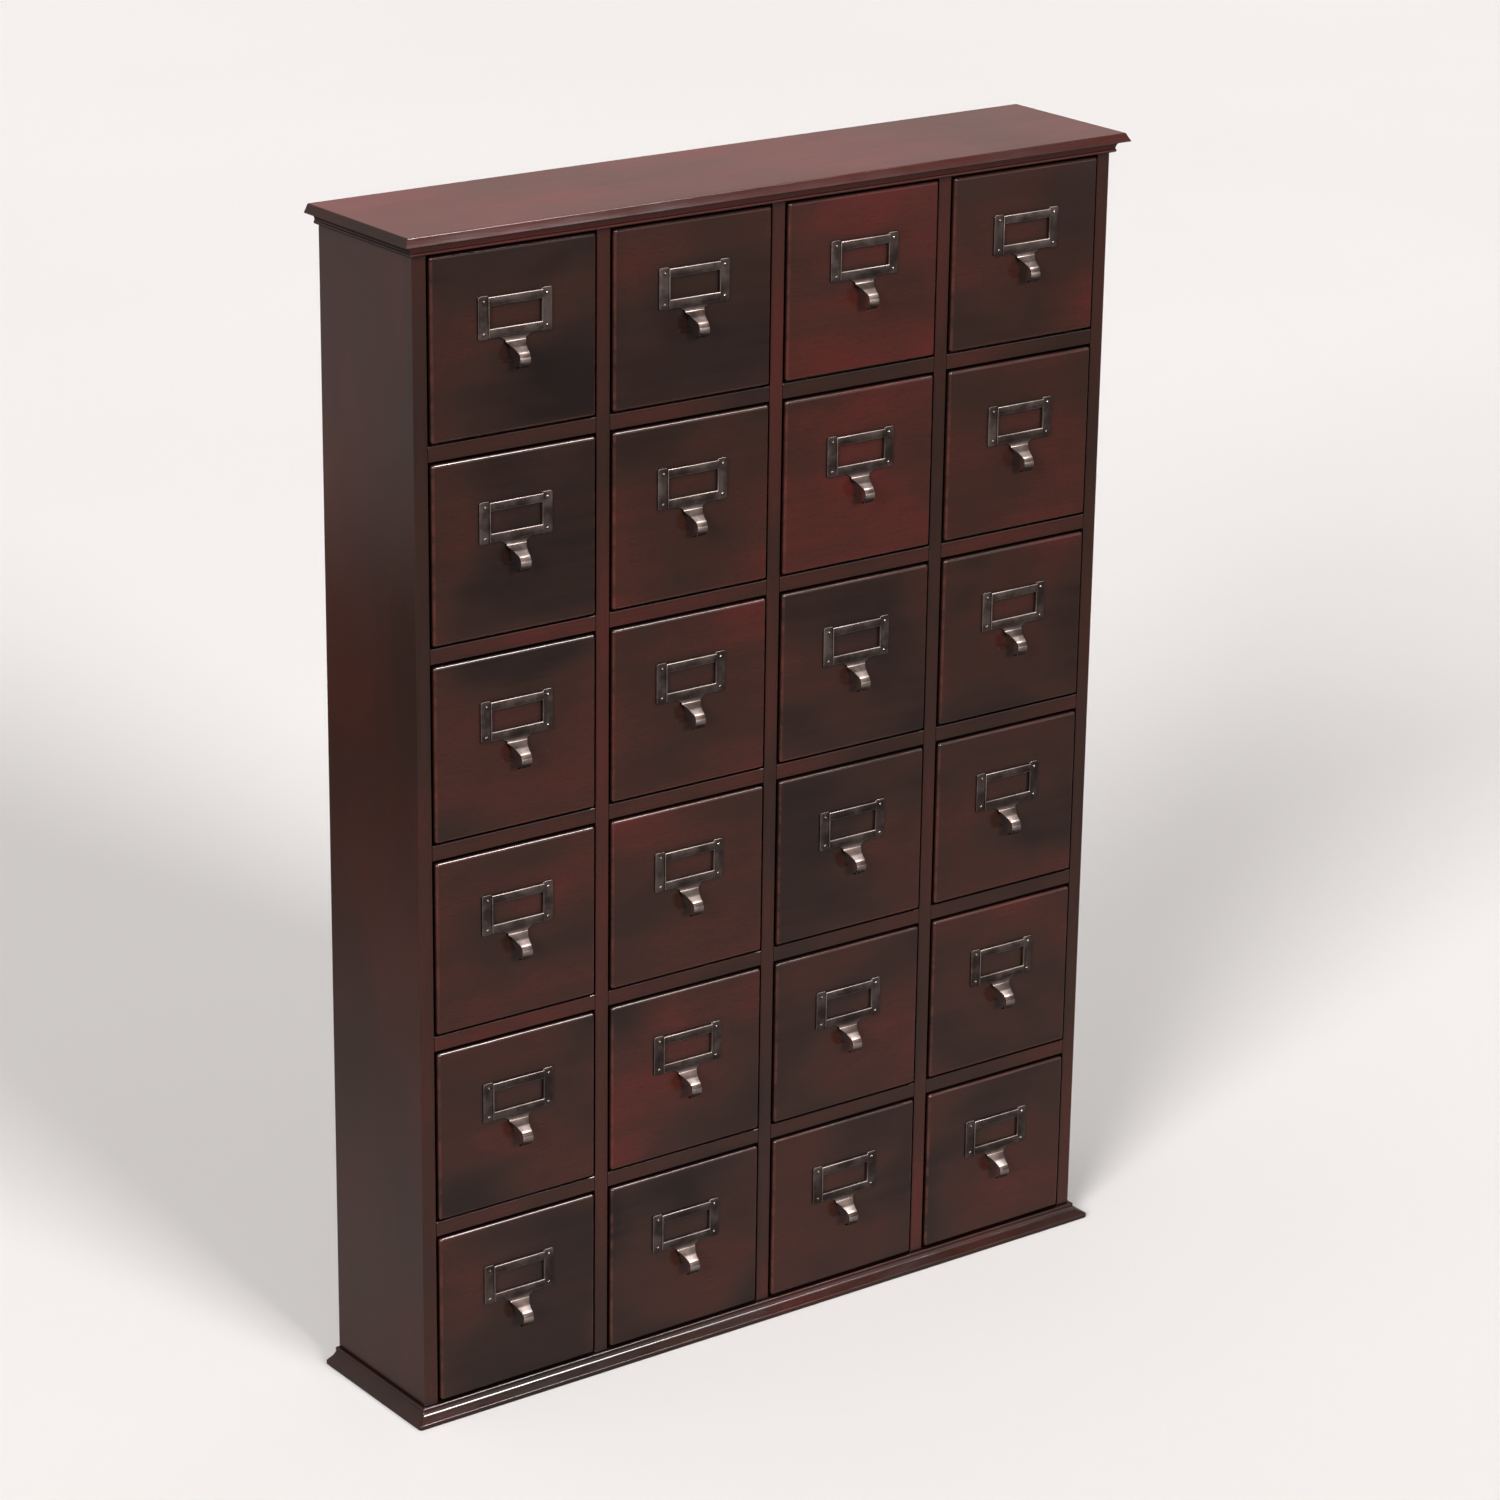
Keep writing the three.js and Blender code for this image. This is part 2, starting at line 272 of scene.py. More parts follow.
def slab(bm, half, corner, profile, wear, place):
    """A rounded plate in the xz plane that rises towards -y through (inset, height) rings."""
    rings = []
    for inset, height in profile:
        radius = max(corner - inset, LEAST_CORNER)
        outline = rounded_rectangle(half[0] - inset, half[1] - inset, radius)
        rings.append([place + Vector((x, -height, z)) for x, z in outline])
    skin(bm, rings, wear)


def eased_box(bm, low, high, ease=BOX_EASED):
    """A box whose edges are rounded, but on a thin box no more than a share of its thickness."""
    part = bmesh.new()
    bmesh.ops.create_cube(part, size=1)
    size = Vector(high) - Vector(low)
    for vert in part.verts:
        vert.co = Vector(low) + Vector([(vert.co[i] + 0.5) * size[i] for i in range(3)])
    width = min(ease, MOST_EASED * min(size))
    edges = part.edges[:]
    bmesh.ops.bevel(part, geom=edges, offset=width, segments=EASE_SEGMENTS, profile=0.5, affect="EDGES")
    holder = bpy.data.meshes.new("eased_box")
    part.to_mesh(holder)
    part.free()
    bm.from_mesh(holder)
    bpy.data.meshes.remove(holder)


def paint_tone_and_light(mesh, tone_and_light):
    """Stores a number on the mesh that the wood reads as how red and light this board is: its own colour
    with painted light added.
    """
    attribute = mesh.attributes.new("tone_and_light", "FLOAT", "POINT")
    attribute.data.foreach_set("value", [tone_and_light] * len(mesh.vertices))


# Node helpers

CREVICE_SAMPLES = 4


class Nodes:
    """Short calls for building one material's node tree."""

    def __init__(self, name):
        self.material = bpy.data.materials.new(name)
        self.material.use_nodes = True
        self.tree = self.material.node_tree
        self.shader = self.tree.nodes["Principled BSDF"]

    def link(self, source, target):
        self.tree.links.new(source, target)

    def put(self, socket, value):
        """Sets a socket to a constant or joins it to an output."""
        if isinstance(value, bpy.types.NodeSocket):
            self.link(value, socket)
        else:
            socket.default_value = value

    def coordinates(self, scale=(1, 1, 1), offset=(0, 0, 0)):
        """Object coordinates, scaled. The offset is a vector or an output."""
        source = self.tree.nodes.new("ShaderNodeTexCoord").outputs["Object"]
        mapping = self.tree.nodes.new("ShaderNodeMapping")
        mapping.inputs["Scale"].default_value = scale
        self.put(mapping.inputs["Location"], offset)
        self.link(source, mapping.inputs["Vector"])
        return mapping.outputs["Vector"]

    def noise(self, axis, lengthwise, across, offset=(0, 0, 0), detail=2, roughness=0.5, distortion=0):
        """Noise with so many waves in a metre along an axis, and so many across it."""
        scale = tuple(lengthwise if i == axis else across for i in range(3))
        node = self.tree.nodes.new("ShaderNodeTexNoise")
        self.link(self.coordinates(scale, offset), node.inputs["Vector"])
        node.inputs["Scale"].default_value = 1
        node.inputs["Detail"].default_value = detail
        node.inputs["Roughness"].default_value = roughness
        node.inputs["Distortion"].default_value = distortion
        return node.outputs["Fac"]

    def remap(self, value, low, high, new_low=0, new_high=1):
        node = self.tree.nodes.new("ShaderNodeMapRange")
        node.interpolation_type = "SMOOTHSTEP"
        self.link(value, node.inputs["Value"])
        limits = (("From Min", low), ("From Max", high), ("To Min", new_low), ("To Max", new_high))
        for name, number in limits:
            node.inputs[name].default_value = number
        return node.outputs["Result"]

    def math(self, operation, first, second=0.0):
        node = self.tree.nodes.new("ShaderNodeMath")
        node.operation = operation
        self.put(node.inputs[0], first)
        self.put(node.inputs[1], second)
        return node.outputs["Value"]

    def axes(self, vector):
        """The x, y and z of a vector, as outputs."""
        node = self.tree.nodes.new("ShaderNodeSeparateXYZ")
        self.link(vector, node.inputs["Vector"])
        return node.outputs

    def ramp(self, value, stops):
        node = self.tree.nodes.new("ShaderNodeValToRGB")
        elements = node.color_ramp.elements
        while len(elements) < len(stops):
            elements.new(0.5)
        for element, (position, colour) in zip(elements, stops):
            element.position = position
            element.color = (*colour, 1)
        self.link(value, node.inputs["Fac"])
        return node.outputs["Color"]

    def mix(self, factor, first, second, blend="MIX"):
        node = self.tree.nodes.new("ShaderNodeMix")
        node.data_type = "RGBA"
        node.blend_type = blend
        node.clamp_factor = True
        self.put(node.inputs["Factor"], factor)
        for socket, value in ((node.inputs[6], first), (node.inputs[7], second)):
            self.put(socket, value if isinstance(value, bpy.types.NodeSocket) else (*value, 1))
        return node.outputs[2]

    def attribute(self, name):
        node = self.tree.nodes.new("ShaderNodeAttribute")
        node.attribute_name = name
        return node.outputs["Fac"]

    def crevices(self, reach, dark, clear, alone=True):
        """1 deep in corners and gaps, where the openness is under dark, and 0 where it is over clear.
        Alone, a piece ignores its neighbours."""
        node = self.tree.nodes.new("ShaderNodeAmbientOcclusion")
        node.samples = CREVICE_SAMPLES
        node.only_local = alone
        node.inputs["Distance"].default_value = reach
        return self.remap(node.outputs["AO"], dark, clear, 1, 0)

    def bump(self, height, distance, strength, below=None):
        """A normal from a height, on top of another bump if one is given as below."""
        node = self.tree.nodes.new("ShaderNodeBump")
        node.inputs["Distance"].default_value = distance
        node.inputs["Strength"].default_value = strength
        self.link(height, node.inputs["Height"])
        if below is not None:
            self.link(below, node.inputs["Normal"])
        return node.outputs["Normal"]

    def finish(self, colour, roughness, normal):
        """Joins the three outputs to the shader and gives the material."""
        self.put(self.shader.inputs["Base Color"], colour)
        self.put(self.shader.inputs["Roughness"], roughness)
        self.put(self.shader.inputs["Normal"], normal)
        return self.material


# Stained wood. A ramp of colours is a list of (position, colour)

STAIN = [
    (0.0, (0.0095, 0.0048, 0.0038)),
    (0.3, (0.0235, 0.0098, 0.0068)),
    (0.6, (0.0400, 0.0110, 0.0076)),
    (1.0, (0.0880, 0.0115, 0.0100)),
]
STAIN_SPREAD = 0.24
STAIN_RUBBED = (0.10, 0.028, 0.020)
# Painted shade in gaps, in corners and next to other parts, together with the glaze that collects in corners
GLAZE_AND_SHADE_IN_CREVICES = (0.0035, 0.0022, 0.0018)
SMOKE_SHADE = (0.45, 0.45, 0.46)
FIBRE_SHADE = (0.5, 0.46, 0.44)
PORE_SHADE = (0.25, 0.25, 0.25)


def stained_wood(name, axis, level=0.40, variation=1.0, painted_light=1.0, face=None, by_board=False, dull=0.0):
    """Dark red-brown mahogany stain under a gloss lacquer, with its grain along an axis. The level runs from
    nearly black over brown to red. Painted light brightens the faces that are square to the axis given as
    face.
    With by_board each board's own colour and painted light, stored on its mesh, is added to the level and
    moves the clouds."""
    n = Nodes(name)
    shift = (0, 0, 0)
    if by_board:
        tone_and_light = n.attribute("tone_and_light")
        shift_node = n.tree.nodes.new("ShaderNodeCombineXYZ")
        n.put(shift_node.inputs["X"], n.math("MULTIPLY", tone_and_light, 190))
        n.put(shift_node.inputs["Z"], n.math("MULTIPLY", tone_and_light, 310))
        shift = shift_node.outputs["Vector"]
    cloud = n.noise(axis, 6, 9, shift, detail=2, roughness=0.45, distortion=0.3)
    smoke = n.noise(axis, 11, 17, (3, 1, 7), detail=3, roughness=0.5, distortion=0.5)
    figure = n.noise(axis, 5, 90, (9, 4, 2), detail=5, roughness=0.62, distortion=0.25)
    fibre = n.noise(axis, 40, 1500, detail=3, roughness=0.6)
    pores = n.noise(axis, 130, 2600, (5, 5, 5), detail=1)
    ripple = n.noise(axis, 60, 140, detail=2)

    spread = STAIN_SPREAD * variation
    amount = n.remap(cloud, 0.28, 0.74, level - spread, level + 1.5 * spread)
    # The number on each board: its own colour, with painted light by its place among the drawers
    if by_board:
        amount = n.math("ADD", amount, tone_and_light)
    amount = n.math("ADD", amount, n.remap(figure, 0.3, 0.7, -0.05, 0.05))
    colour = n.ramp(amount, STAIN)
    # Painted light: faces square to the axis given as face are brightened, as if more light fell on them
    if face is not None:
        normal = n.axes(n.tree.nodes.new("ShaderNodeNewGeometry").outputs["Normal"])
        square = n.remap(n.math("ABSOLUTE", normal[face]), 0.8, 0.97)
        colour = n.mix(square, colour, n.mix(1.0, colour, (painted_light, painted_light, painted_light), "MULTIPLY"))
    colour = n.mix(n.remap(smoke, 0.5, 0.8, 0, 0.4 * variation), colour, SMOKE_SHADE, "MULTIPLY")
    colour = n.mix(n.remap(fibre, 0.35, 0.75, 0, 0.4), colour, FIBRE_SHADE, "MULTIPLY")
    colour = n.mix(n.remap(pores, 0.62, 0.75, 0, 0.5), colour, PORE_SHADE, "MULTIPLY")
    worn = n.math("MULTIPLY", n.attribute("wear"), n.remap(figure, 0.35, 0.65, 0.05, 0.45))
    colour = n.mix(worn, colour, STAIN_RUBBED)
    # Painted shade: darker in gaps, in corners and next to other parts and the floor, also the glaze that
    # collects in corners
    colour = n.mix(n.crevices(6 * MM, 0.45, 0.97, alone=False), colour, GLAZE_AND_SHADE_IN_CREVICES)

    uneven = n.remap(smoke, 0.3, 0.75, 0.15 + dull, 0.21 + dull)
    rough = n.math("ADD", uneven, n.remap(fibre, 0.3, 0.7, -0.03, 0.03))
    height = n.math("ADD", n.math("MULTIPLY", fibre, 0.6), n.math("MULTIPLY", pores, -0.5))
    grain = n.bump(height, 0.02 * MM, 0.35)
    return n.finish(colour, rough, n.bump(ripple, 0.05 * MM, 0.25, grain))


# Bare wood

BARE = [
    (0.0, (0.47, 0.31, 0.175)),
    (0.5, (0.56, 0.39, 0.235)),
    (1.0, (0.64, 0.47, 0.30)),
]
STREAK_SHADE = (0.72, 0.60, 0.48)
SPECK_SHADE = (0.55, 0.42, 0.32)


def bare_wood(name, axis, light=1.0):
    """Pale unfinished hardwood or plywood for the inside of the drawers."""
    n = Nodes(name)
    bands = n.noise(axis, 3, 55, detail=4, roughness=0.6, distortion=0.4)
    streaks = n.noise(axis, 14, 620, (2, 8, 4), detail=4, roughness=0.65)
    specks = n.noise(axis, 90, 1700, detail=2)
    lit = [(position, tuple(light * c for c in colour)) for position, colour in BARE]
    colour = n.ramp(n.remap(bands, 0.3, 0.7), lit)
    colour = n.mix(n.remap(streaks, 0.45, 0.75, 0, 0.55), colour, STREAK_SHADE, "MULTIPLY")
    colour = n.mix(n.remap(specks, 0.62, 0.78, 0, 0.6), colour, SPECK_SHADE, "MULTIPLY")
    n.shader.inputs["Specular IOR Level"].default_value = 0.35
    rough = n.remap(streaks, 0.3, 0.7, 0.55, 0.7)
    height = n.math("ADD", n.math("MULTIPLY", streaks, 0.7), n.math("MULTIPLY", specks, -0.6))
    return n.finish(colour, rough, n.bump(height, 0.06 * MM, 0.5))


# Metal

PATINA = [
    (0.0, (0.046, 0.032, 0.028)),
    (0.5, (0.069, 0.050, 0.044)),
    (1.0, (0.102, 0.076, 0.067)),
]
METAL_SPECKS = (0.035, 0.027, 0.025)
# Painted dark reflection on the glossy part of the hook
METAL_PAINTED_DARK_REFLECTION = (0.028, 0.021, 0.019)
METAL_IN_CREVICES = (0.015, 0.011, 0.010)
METAL_RUBBED = (0.44, 0.35, 0.32)


def aged_metal(name):
    """Dark antiqued steel, speckled, with its edges rubbed bright. An attribute of the mesh says where it is
    glossier and painted darker, standing in for the dark things it reflects there."""
    n = Nodes(name)
    patina = n.noise(X, 70, 70, detail=4, roughness=0.6)
    speckle = n.noise(X, 1900, 1900, (1, 2, 3), detail=2, roughness=0.6)
    brushed = n.noise(X, 160, 2400, detail=2)
    gloss_and_painted_shade = n.attribute("gloss_and_painted_shade")
    colour = n.ramp(n.remap(patina, 0.3, 0.7), PATINA)
    colour = n.mix(n.remap(speckle, 0.5, 0.72, 0, 0.6), colour, METAL_SPECKS)
    # Painted dark reflection: the hook's strip is darkened where it is glossy
    colour = n.mix(n.math("MULTIPLY", gloss_and_painted_shade, 0.7), colour, METAL_PAINTED_DARK_REFLECTION)
    colour = n.mix(n.crevices(1.2 * MM, 0.35, 0.8), colour, METAL_IN_CREVICES)
    worn = n.math("MULTIPLY", n.attribute("wear"), n.remap(speckle, 0.3, 0.6, 0.6, 1.0))
    colour = n.mix(worn, colour, METAL_RUBBED)
    n.shader.inputs["Metallic"].default_value = 1.0
    rough = n.math("ADD", n.remap(patina, 0.3, 0.7, 0.34, 0.46), n.remap(speckle, 0.35, 0.7, 0.0, 0.14))
    rough = n.math("SUBTRACT", rough, n.math("MULTIPLY", worn, 0.14))
    sleek = n.math("SUBTRACT", 1.0, n.math("MULTIPLY", gloss_and_painted_shade, 0.5))
    rough = n.math("MULTIPLY", rough, sleek)
    height = n.math("ADD", speckle, n.math("MULTIPLY", brushed, 0.3))
    return n.finish(colour, rough, n.bump(height, 0.05 * MM, 0.35))


# Floor paper. The other colours, by the distance from the cabinet, are for all rays but the camera's: the
# floor painted darker as shade, with a painted shadow of the cabinet behind it

PAPER = [
    (0.0, (0.80, 0.768, 0.759)),
    (1.0, (0.815, 0.783, 0.774)),
]
REFLECTED_REACH = 4
SHADED_FLOOR_IN_FRONT = [
    (0.08, (0.23, 0.225, 0.222)),
    (0.60, (0.09, 0.088, 0.087)),
]
SHADOWED_FLOOR_BEHIND = [
    (0.14, (0.32, 0.305, 0.295)),
    (0.40, (0.06, 0.057, 0.054)),
    (0.58, (0.02, 0.019, 0.018)),
    (0.76, (0.36, 0.34, 0.33)),
]


def studio_paper(name):
    """Plain pale paper for the camera. For reflections and bounced light the floor is darker, with painted
    shade and a painted shadow behind the cabinet.
    """
    n = Nodes(name)
    drift = n.noise(X, 0.7, 0.7, detail=2)
    fibres = n.noise(X, 420, 420, detail=2)
    colour = n.ramp(n.remap(drift, 0.3, 0.7), PAPER)
    seen = n.tree.nodes.new("ShaderNodeLightPath").outputs["Is Camera Ray"]
    place = n.coordinates()
    away = n.tree.nodes.new("ShaderNodeVectorMath")
    away.operation = "LENGTH"
    n.link(place, away.inputs[0])
    distance = n.math("DIVIDE", away.outputs["Value"], REFLECTED_REACH)
    in_front = n.ramp(distance, SHADED_FLOOR_IN_FRONT)
    behind = n.ramp(distance, SHADOWED_FLOOR_BEHIND)
    # Painted shade for reflections and bounced light, with a painted shadow of the cabinet on the floor
    # behind it
    reflected = n.mix(n.remap(n.axes(place)["Y"], -0.3, 0.3), in_front, behind)
    n.shader.inputs["Specular IOR Level"].default_value = 0.2
    return n.finish(n.mix(seen, reflected, colour), 0.85, n.bump(fibres, 0.05 * MM, 0.1))


# The materials, one for each use and direction of the grain. The sides and the top have painted light on
# their broad faces

WOOD = [stained_wood(f"stained_wood_{letter}", axis, variation=0.8) for axis, letter in enumerate("xyz")]
FRONT_WOOD = stained_wood("stained_front_wood", X, by_board=True)
# Painted light: the sides' broad faces are brightened
PAINTED_LIT_SIDE_WOOD = stained_wood("stained_side_wood_painted_light", Z, variation=0.5, painted_light=1.2, face=X)
# Painted light: the top's flat faces are brightened more than threefold
PAINTED_LIT_TOP_WOOD = stained_wood("stained_top_wood_painted_light", X, level=0.72, variation=0.3, painted_light=3.2, face=Z)
PLYWOOD = stained_wood("stained_plywood", Z, level=0.5, variation=0.5, dull=0.25)
BOX_WOOD = bare_wood("bare_box_wood", Y)
BOX_END_WOOD = bare_wood("bare_end_wood", X)
BOX_PANEL = bare_wood("bare_panel_wood", Y, light=0.86)
METAL = aged_metal("aged_metal")


# Carcass boards from the frame, with eased edges and stained wood

def ease_edges(piece):
    weld = piece.modifiers.new("weld", "WELD")
    weld.merge_threshold = WELD_DISTANCE
    merge = piece.modifiers.new("merge_flats", "DECIMATE")
    merge.decimate_type = "DISSOLVE"
    merge.angle_limit = FLAT_ANGLE
    bevel = piece.modifiers.new("eased_edges", "BEVEL")
    bevel.width = BOARD_EASED
    bevel.segments = EASE_SEGMENTS
    bevel.limit_method = "ANGLE"
    bevel.angle_limit = EDGE_ANGLE
    keep_flats_flat(piece)


def finish_board(piece, material):
    piece.data.materials.clear()
    piece.data.materials.append(material)
    ease_edges(piece)


def centre_of(node):
    low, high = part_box(node)
    return (low + high) / 2


def copied_board(name, node, offset, material):
    """One board of the centre cross, with the shape of a CAD board moved by offset."""
    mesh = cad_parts[node].data.copy()
    mesh.name = name
    mesh.transform(Matrix.Translation(offset))
    piece = add_piece(name, mesh, "carcass", [], ["centre_cross"])
    finish_board(piece, material)


def carcass_boards():
    for node in ("left_side", "right_side"):
        finish_board(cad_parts[node], PAINTED_LIT_SIDE_WOOD)
    for node in ("divider_1", "divider_3"):
        finish_board(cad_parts[node], WOOD[Z])
    for node in ("shelf_1", "shelf_2", "shelf_4", "shelf_5"):
        finish_board(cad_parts[node], WOOD[X])
    finish_board(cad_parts["back_panel"], PLYWOOD)
    sideways = centre_of("centre_cross").x - centre_of("divider_1").x
    copied_board("middle_divider", "divider_1", Vector((sideways, 0, 0)), WOOD[Z])
    half_way = (centre_of("shelf_2") + centre_of("shelf_4")) / 2
    upwards = half_way.z - centre_of("shelf_2").z
    copied_board("middle_shelf", "shelf_2", Vector((0, 0, upwards)), WOOD[X])


# Moulded boards

def top_profile(overhang, thickness):
    """(overhang, height) round the top's edge: a bead, a cove, a sharp lip and a slope to a round arris."""
    bead = 1.6 * MM
    cove_in, cove_foot = 3.6 * MM, 3.2 * MM
    cove_out = overhang - 3.2 * MM
    lip, lip_round = 9.8 * MM, 0.4 * MM
    arris = 1.3 * MM
    edge = [(0, 0)]
    edge += arc((2.6 * MM, bead), (1.7 * MM, bead), -90, 60)
    edge += arc((cove_out, cove_foot), (cove_out - cove_in, lip - cove_foot), 180, 90)
    edge += arc((overhang - lip_round, lip + lip_round), (lip_round, lip_round), -90, 28, steps=5)
    edge.append((overhang - 1.75 * MM, lip + 3.5 * MM))
    edge += arc((overhang - 4.4 * MM, thickness - arris), (arris, arris), 32, 90, steps=8)
    return edge


def base_profile(overhang, thickness):
    """(overhang, depth) round the base's edge: a bead, a cove that ends as a slope, a nose and a foot."""
    bead = 1.3 * MM
    nose = 0.9 * MM
    foot = 1.4 * MM
    edge = [(0, 0)]
    edge += arc((2.2 * MM, bead), (1.5 * MM, bead), -90, 50)
    edge += arc((overhang + 1 * MM, 2.6 * MM), (overhang - 2.4 * MM, 5.8 * MM), 180, 129.5)
    edge += arc((overhang - nose, 10.2 * MM), (nose, nose), -65, 0, steps=6)
    edge += arc((overhang - foot, thickness - foot), (foot, foot), 0, 90, steps=6)
    return edge


def looks_sideways(face, share=0.75, least=0.1):
    """Whether a face looks left or right, rather than forward, up or down."""
    level = share * math.hypot(face.normal.x, face.normal.y)
    return abs(face.normal.x) > level > least


def moulded_board(name, profile, z0, up, mitre, wood):
    """A board with an edge moulding on the front and both sides, mitred at the corners. The profile starts
    at the height z0, and goes up if up is 1 or down if it is -1."""
    low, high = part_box(name)
    body_low, body_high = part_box("left_side")[0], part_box("right_side")[1]
    rings = []
    for out, rise in profile:
        left, right = body_low.x - out, body_high.x + out
        front = body_low.y - out
        radius = LEAST_MITRE + mitre * out / (body_low.x - low.x)
        ring = [(left, high.y)]
        ring += arc((left + radius, front + radius), (radius, radius), 180, 270, CORNER_STEPS)
        ring += arc((right - radius, front + radius), (radius, radius), 270, 360, CORNER_STEPS)
        ring.append((right, high.y))
        rings.append([Vector((x, y, z0 + up * rise)) for x, y in ring])
    bm = bmesh.new()
    skin(bm, rings)
    bmesh.ops.recalc_face_normals(bm, faces=bm.faces)
    for face in bm.faces:
        face.material_index = int(looks_sideways(face))
    mesh = finished_mesh(name + "_mesh", bm)
    piece = add_piece(f"{name}_moulded", mesh, "carcass", [wood, WOOD[Y]], [name])
    keep_flats_flat(piece)


def moulded_boards():
    side_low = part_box("left_side")[0]
    top_low, top_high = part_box("top_board")
    base_low, base_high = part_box("base_board")
    top_edge = top_profile(side_low.x - top_low.x, top_high.z - top_low.z)
    base_edge = base_profile(side_low.x - base_low.x, base_high.z - base_low.z)
    moulded_board("top_board", top_edge, top_low.z, 1, TOP_MITRE, PAINTED_LIT_TOP_WOOD)
    moulded_board("base_board", base_edge, base_high.z, -1, BASE_MITRE, WOOD[X])


# Drawers

def drawer_front(place, low, high, tone_and_light):
    """A drawer front with rounded arrises. Its face is the drawer's lowest y."""
    half = ((high.x - low.x) / 2, (high.z - low.z - FRONT_LIFT) / 2)
    centre = Vector(((low.x + high.x) / 2, low.y + FRONT_THICKNESS, high.z - half[1]))
    profile = [(FRONT_BACK_EASED, 0), (0, FRONT_BACK_EASED)]
    profile += quarter_round(FRONT_ROUND, FRONT_THICKNESS, ARRIS_STEPS)
    bm = bmesh.new()
    slab(bm, half, FRONT_CORNER, profile, [0, 0] + rubbed(ARRIS_STEPS), centre)
    mesh = finished_mesh(f"front_{place}_mesh", bm)
    paint_tone_and_light(mesh, tone_and_light)
    body = f"drawer_{place}"
    piece = add_piece(f"front_{place}", mesh, body, [FRONT_WOOD], [f"drawer_{place}"])
    keep_flats_flat(piece)


def drawer_box(place, low, high):
    """The tray behind a front: two sides, a back between them and a thin panel in grooves."""
    left, right = low.x + BOX_INSET, high.x - BOX_INSET
    front, back = low.y + FRONT_THICKNESS, high.y
    bottom, top = low.z, low.z + BOX_HEIGHT
    body = f"drawer_{place}"
    sides = bmesh.new()
    eased_box(sides, (left, front, bottom), (left + BOX_WALL, back, top))
    eased_box(sides, (right - BOX_WALL, front, bottom), (right, back, top))
    end = bmesh.new()
    end_top = top - BACK_DROP
    eased_box(end, (left + BOX_WALL, back - BOX_WALL, bottom), (right - BOX_WALL, back, end_top))
    panel = bmesh.new()
    groove = BOX_WALL - PANEL_GROOVE
    under = bottom + PANEL_LIFT
    over = under + PANEL_THICKNESS
    eased_box(panel, (left + groove, front, under), (right - groove, back - groove, over), PANEL_EASED)
    parts = (("sides", sides, BOX_WOOD), ("end", end, BOX_END_WOOD), ("panel", panel, BOX_PANEL))
    for name, bm, material in parts:
        mesh = finished_mesh(f"{name}_{place}_mesh", bm)
        piece = add_piece(f"box_{name}_{place}", mesh, body, [material], [f"drawer_{place}"])
        keep_flats_flat(piece)


# Label-holder pulls, drawn round the centre of the plate's back

def ears():
    bm = bmesh.new()
    half_width = (EAR_WIDTH - EAR_SHORTENED) / 2
    profile = [(0, 0)] + quarter_round(EAR_EDGE, EAR_THICKNESS, EAR_STEPS)
    for side in (-1, 1):
        place = Vector((side * (PLATE_HALF[0] - half_width), 0.0, 0.0))
        slab(bm, (half_width, PLATE_HALF[1]), EAR_CORNER, profile, [0] + rubbed(EAR_STEPS), place)
    return finished_mesh("ears", bm)


def holder():
    """The raised frame round the card window. Its rings go from the outer foot over the top to the window's
    foot. Each has half its width, half its height, its rise and its wear."""
    outer_x = PLATE_HALF[0] - EAR_WIDTH + HOLDER_LAP
    outer_z = PLATE_HALF[1] - BAR_INSET
    inner_x, inner_z = WINDOW_HALF
    step = HOLDER_STEP
    shape = [
        (outer_x, outer_z, 0.0, 0),
        (outer_x, outer_z, HOLDER_THICKNESS - 2 * step, 0),
        (outer_x - 0.3 * step, outer_z - 0.3 * step, HOLDER_THICKNESS - step, 0.6),
        (outer_x - step, outer_z - step, HOLDER_THICKNESS - 0.3 * step, 0.9),
        (outer_x - 1.6 * step, outer_z - 2 * step, HOLDER_THICKNESS, 0),
        (inner_x + 1.2 * step, inner_z + 2 * step, HOLDER_THICKNESS, 0),
        (inner_x + 0.5 * step, inner_z + step, HOLDER_THICKNESS - 0.3 * step, 0.9),
        (inner_x, inner_z, HOLDER_THICKNESS - 1.2 * step, 0.3),
        (inner_x, inner_z, 0.0, 0),
    ]
    rings = []
    for half_x, half_z, rise, _ in shape:
        outline = rounded_rectangle(half_x, half_z, HOLDER_CORNER, steps=3)
        rings.append([Vector((x, -rise, z)) for x, z in outline])
    bm = bmesh.new()
    skin(bm, rings, [ring[3] for ring in shape], closed=True)
    return finished_mesh("holder", bm)


def hook_line():
    """Middle line of the hook's strip as (out, down): down the wood, out along a slope and round a curl."""
    start = STRIP / 2
    bend = arc((start + BEND_RADIUS, BEND_START), (BEND_RADIUS, BEND_RADIUS), 180, 180 - BEND_TURN, steps=7)
    centre = (HOOK_REACH - CURL_RADII[0] - STRIP / 2, HOOK_DROP - CURL_RADII[1])
    curl = arc(centre, CURL_RADII, *CURL_ANGLES, steps=24)
    return [(start, -HOOK_OVERLAP), (start, 0.0)] + bend + between(bend[-1], curl[0], steps=6) + curl


def hook_half_width(run):
    """Half-width of the hook at a distance along its strip below the holder: a flare and a taper."""
    flare = FLARE * math.exp(-max(run, 0) / FLARE_FADE)
    narrowed = rising(run, TAPER_START, TAPER_LENGTH)
    return HOOK_HALF_WIDTH - TAPER * narrowed * (2 - narrowed) + flare


